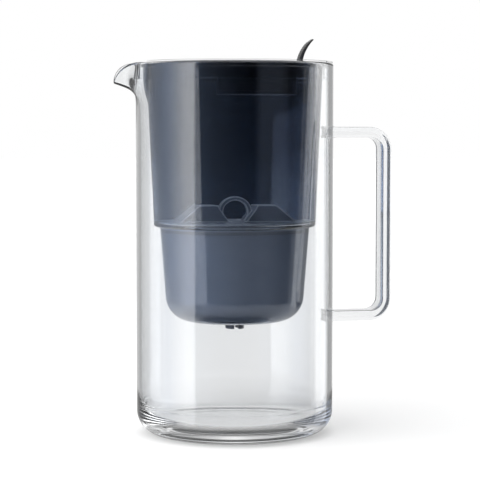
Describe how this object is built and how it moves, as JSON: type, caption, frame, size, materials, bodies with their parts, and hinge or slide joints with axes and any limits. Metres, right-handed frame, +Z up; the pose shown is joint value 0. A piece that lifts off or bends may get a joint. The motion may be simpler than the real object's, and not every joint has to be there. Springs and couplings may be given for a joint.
{
  "type": "water filter pitcher",
  "caption": "Cylindrical glass jug with a pulled spout and strap handle, a smoked filter hopper hung inside, a lift-out cartridge and a thumb-lever flip lid",
  "frame": {"origin": "middle of the flat underside of the glass jug", "axes": "+Z up through the lid, +X towards the handle, -X towards the spout"},
  "size_m": [0.187, 0.13, 0.261],
  "materials": {
    "clear_glass": "clear polished soda glass",
    "clear_silicone": "clear soft silicone",
    "smoked_plastic": "smoked slate-blue clear plastic, glossy",
    "black_plastic": "black glossy plastic",
    "dark_plastic": "dark satin plastic",
    "white_plastic": "white satin plastic",
    "grey_plastic": "light grey satin plastic",
    "dark_rubber": "matt rubber",
    "carbon": "black carbon granules",
    "resin": "amber resin beads",
    "steel": "bright steel",
    "board": "green circuit board",
    "lens": "clear light guide"
  },
  "bodies": {
    "jug": {"glass_jug": "clear_glass", "glass_handle": "clear_glass"},
    "hopper": {"rim_collar": "clear_silicone", "hopper": "smoked_plastic", "outlet_nozzle": "black_plastic"},
    "cartridge": {"cartridge_shell": "white_plastic", "cartridge_cap": "grey_plastic", "cartridge_seal": "dark_rubber", "inlet_sieve": "white_plastic", "carbon_bed": "carbon", "resin_bed": "resin", "outlet_sieve": "white_plastic"},
    "lid": {"lid_frame": "smoked_plastic", "hinge_pins": "steel"},
    "flap": {"lid_flap": "smoked_plastic", "thumb_tab": "black_plastic", "indicator_housing": "dark_plastic", "indicator_board": "board", "indicator_cell": "steel", "button_dome": "clear_silicone", "indicator_lens": "lens", "indicator_seal": "dark_rubber", "indicator_cover": "dark_plastic", "cover_screws": "steel"},
    "button": {"indicator_button": "grey_plastic"}
  },
  "joints": [
    {"name": "hopper_lift", "type": "slide", "parent": "jug", "child": "hopper", "axis": [0, 0, 1], "range_m": [0, 0.26]},
    {"name": "cartridge_lift", "type": "slide", "parent": "hopper", "child": "cartridge", "axis": [0, 0, 1], "range_m": [0, 0.06]},
    {"name": "lid_lift", "type": "slide", "parent": "hopper", "child": "lid", "axis": [0, 0, 1], "range_m": [0, 0.12]},
    {"name": "flap_hinge", "type": "hinge", "parent": "lid", "child": "flap", "pos_m": [0.0439, 0, 0.2387], "axis": [0, 1, 0], "range_deg": [0, 45]},
    {"name": "button_press", "type": "slide", "parent": "flap", "child": "button", "axis": [0, 0, -1], "range_m": [0, 0.0009], "stiffness_N_per_m": 300, "deforming": ["button_dome"]}
  ]
}
